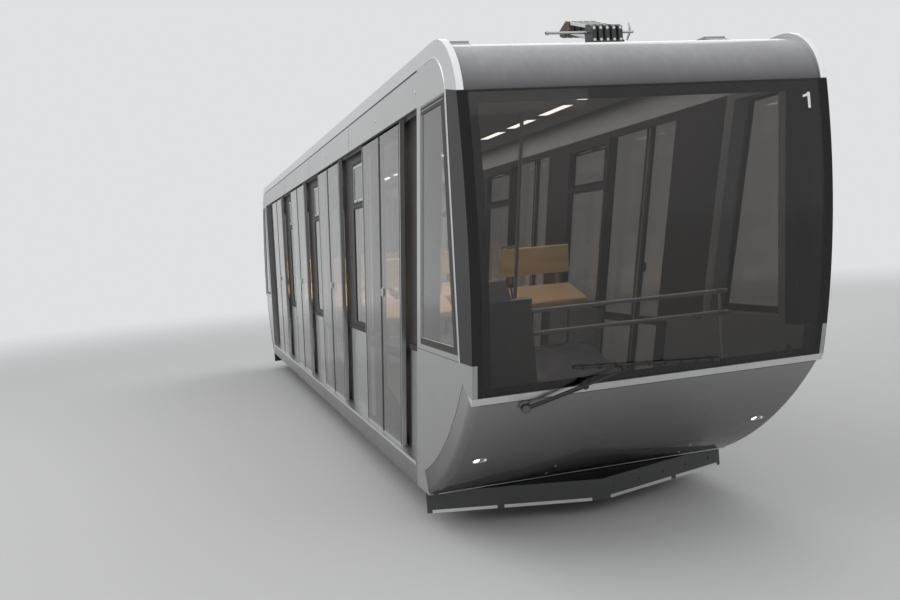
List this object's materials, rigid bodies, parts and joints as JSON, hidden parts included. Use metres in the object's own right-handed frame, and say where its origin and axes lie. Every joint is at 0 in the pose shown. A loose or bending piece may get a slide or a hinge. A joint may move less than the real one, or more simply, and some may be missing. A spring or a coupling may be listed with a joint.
{
  "type": "funicular car",
  "caption": "Funicular railway car on two bogies, with leaning door pairs, smoked panoramic end windows, a stepped floor and a roof current collector.",
  "frame": {"origin": "on the floor under the middle of the car's length and width, level with the flange tips", "axes": "+X along the track, uphill; +Y to the left of a passenger facing uphill; +Z square to the rails, so that posts and doors lean by the track's slope of 18.1 degrees"},
  "size_m": [12.2451, 2.33, 3.6],
  "materials": {
    "body_silver": "glossy silver-grey metallic paint",
    "roof_paint": "grey paint",
    "gloss_black": "gloss black",
    "bright_strip": "satin bright metal",
    "smoked_glass": "smoked, glossy",
    "door_glass": "smoked, glossy, on a dark frame",
    "fascia_grey": "satin light grey",
    "post_black": "satin black",
    "floor_rubber": "studded grey rubber",
    "frame_paint": "dark grey paint",
    "wheel_steel": "rolled steel, bright treads",
    "bench_wood": "clear varnish",
    "rail_steel": "brushed",
    "desk_grey": "light grey",
    "wiper_black": "matte black",
    "collector_metal": "dark metal with bright bars",
    "lamp_glass": "clear"
  },
  "bodies": {
    "car": {"roof_edges": "body_silver", "roof_skin": "roof_paint", "roof_headers": "gloss_black", "corner_panels": "body_silver", "corner_pillars": "gloss_black", "nose_strips": "bright_strip", "windshields": "smoked_glass", "end_skins": "body_silver", "fascias": "fascia_grey", "cant_rails": "post_black", "door_posts": "post_black", "bay_panels": "body_silver", "bay_frames": "post_black", "side_windows": "smoked_glass", "sill_strips": "bright_strip", "skirts": "body_silver", "floor": "floor_rubber", "stringers": "frame_paint", "underframe": "frame_paint", "benches": "bench_wood", "handrails": "rail_steel", "end_rails": "rail_steel", "desks": "desk_grey", "wipers": "wiper_black", "ploughs": "frame_paint", "rope_anchors": "frame_paint", "rail_brakes": "frame_paint", "collector": "collector_metal", "roof_ducts": "roof_paint", "headlamps": "lamp_glass"},
    "bogie_uphill": {"bogie_uphill": "frame_paint"},
    "bogie_downhill": {"bogie_downhill": "frame_paint"},
    "wheelset_uphill_upper": {"wheelset_uphill_upper": "wheel_steel"},
    "wheelset_uphill_lower": {"wheelset_uphill_lower": "wheel_steel"},
    "wheelset_downhill_upper": {"wheelset_downhill_upper": "wheel_steel"},
    "wheelset_downhill_lower": {"wheelset_downhill_lower": "wheel_steel"},
    "door_left_1_upper": {"door_left_1_upper": "door_glass"},
    "door_left_1_lower": {"door_left_1_lower": "door_glass"},
    "door_left_2_upper": {"door_left_2_upper": "door_glass"},
    "door_left_2_lower": {"door_left_2_lower": "door_glass"},
    "door_left_3_upper": {"door_left_3_upper": "door_glass"},
    "door_left_3_lower": {"door_left_3_lower": "door_glass"},
    "door_left_4_upper": {"door_left_4_upper": "door_glass"},
    "door_left_4_lower": {"door_left_4_lower": "door_glass"},
    "door_right_1_upper": {"door_right_1_upper": "door_glass"},
    "door_right_1_lower": {"door_right_1_lower": "door_glass"},
    "door_right_2_upper": {"door_right_2_upper": "door_glass"},
    "door_right_2_lower": {"door_right_2_lower": "door_glass"},
    "door_right_3_upper": {"door_right_3_upper": "door_glass"},
    "door_right_3_lower": {"door_right_3_lower": "door_glass"},
    "door_right_4_upper": {"door_right_4_upper": "door_glass"},
    "door_right_4_lower": {"door_right_4_lower": "door_glass"}
  },
  "joints": [
    {"name": "bogie_uphill_swivel", "type": "hinge", "parent": "car", "child": "bogie_uphill", "pos_m": [2.86091, 0, 0.248], "axis": [0, 0, 1], "range_deg": [-3, 3]},
    {"name": "wheelset_uphill_upper_spin", "type": "hinge", "parent": "bogie_uphill", "child": "wheelset_uphill_upper", "pos_m": [3.36091, 0, 0.248], "axis": [0, 1, 0], "continuous": true},
    {"name": "wheelset_uphill_lower_spin", "type": "hinge", "parent": "bogie_uphill", "child": "wheelset_uphill_lower", "pos_m": [2.36091, 0, 0.248], "axis": [0, 1, 0], "continuous": true},
    {"name": "bogie_downhill_swivel", "type": "hinge", "parent": "car", "child": "bogie_downhill", "pos_m": [-4.43009, 0, 0.248], "axis": [0, 0, 1], "range_deg": [-3, 3]},
    {"name": "wheelset_downhill_upper_spin", "type": "hinge", "parent": "bogie_downhill", "child": "wheelset_downhill_upper", "pos_m": [-3.93009, 0, 0.248], "axis": [0, 1, 0], "continuous": true},
    {"name": "wheelset_downhill_lower_spin", "type": "hinge", "parent": "bogie_downhill", "child": "wheelset_downhill_lower", "pos_m": [-4.93009, 0, 0.248], "axis": [0, 1, 0], "continuous": true},
    {"name": "door_left_1_upper_slide", "type": "slide", "parent": "car", "child": "door_left_1_upper", "axis": [1, 0, 0], "range_m": [0, 0.47]},
    {"name": "door_left_1_lower_slide", "type": "slide", "parent": "car", "child": "door_left_1_lower", "axis": [-1, 0, 0], "range_m": [0, 0.47]},
    {"name": "door_left_2_upper_slide", "type": "slide", "parent": "car", "child": "door_left_2_upper", "axis": [1, 0, 0], "range_m": [0, 0.47]},
    {"name": "door_left_2_lower_slide", "type": "slide", "parent": "car", "child": "door_left_2_lower", "axis": [-1, 0, 0], "range_m": [0, 0.47]},
    {"name": "door_left_3_upper_slide", "type": "slide", "parent": "car", "child": "door_left_3_upper", "axis": [1, 0, 0], "range_m": [0, 0.47]},
    {"name": "door_left_3_lower_slide", "type": "slide", "parent": "car", "child": "door_left_3_lower", "axis": [-1, 0, 0], "range_m": [0, 0.47]},
    {"name": "door_left_4_upper_slide", "type": "slide", "parent": "car", "child": "door_left_4_upper", "axis": [1, 0, 0], "range_m": [0, 0.47]},
    {"name": "door_left_4_lower_slide", "type": "slide", "parent": "car", "child": "door_left_4_lower", "axis": [-1, 0, 0], "range_m": [0, 0.47]},
    {"name": "door_right_1_upper_slide", "type": "slide", "parent": "car", "child": "door_right_1_upper", "axis": [1, 0, 0], "range_m": [0, 0.47]},
    {"name": "door_right_1_lower_slide", "type": "slide", "parent": "car", "child": "door_right_1_lower", "axis": [-1, 0, 0], "range_m": [0, 0.47]},
    {"name": "door_right_2_upper_slide", "type": "slide", "parent": "car", "child": "door_right_2_upper", "axis": [1, 0, 0], "range_m": [0, 0.47]},
    {"name": "door_right_2_lower_slide", "type": "slide", "parent": "car", "child": "door_right_2_lower", "axis": [-1, 0, 0], "range_m": [0, 0.47]},
    {"name": "door_right_3_upper_slide", "type": "slide", "parent": "car", "child": "door_right_3_upper", "axis": [1, 0, 0], "range_m": [0, 0.47]},
    {"name": "door_right_3_lower_slide", "type": "slide", "parent": "car", "child": "door_right_3_lower", "axis": [-1, 0, 0], "range_m": [0, 0.47]},
    {"name": "door_right_4_upper_slide", "type": "slide", "parent": "car", "child": "door_right_4_upper", "axis": [1, 0, 0], "range_m": [0, 0.47]},
    {"name": "door_right_4_lower_slide", "type": "slide", "parent": "car", "child": "door_right_4_lower", "axis": [-1, 0, 0], "range_m": [0, 0.47]}
  ],
  "couplings": [
    {"joint": "door_left_1_lower_slide", "follows": "door_left_1_upper_slide", "ratio": 1},
    {"joint": "door_left_2_lower_slide", "follows": "door_left_2_upper_slide", "ratio": 1},
    {"joint": "door_left_3_lower_slide", "follows": "door_left_3_upper_slide", "ratio": 1},
    {"joint": "door_left_4_lower_slide", "follows": "door_left_4_upper_slide", "ratio": 1},
    {"joint": "door_right_1_lower_slide", "follows": "door_right_1_upper_slide", "ratio": 1},
    {"joint": "door_right_2_lower_slide", "follows": "door_right_2_upper_slide", "ratio": 1},
    {"joint": "door_right_3_lower_slide", "follows": "door_right_3_upper_slide", "ratio": 1},
    {"joint": "door_right_4_lower_slide", "follows": "door_right_4_upper_slide", "ratio": 1}
  ]
}
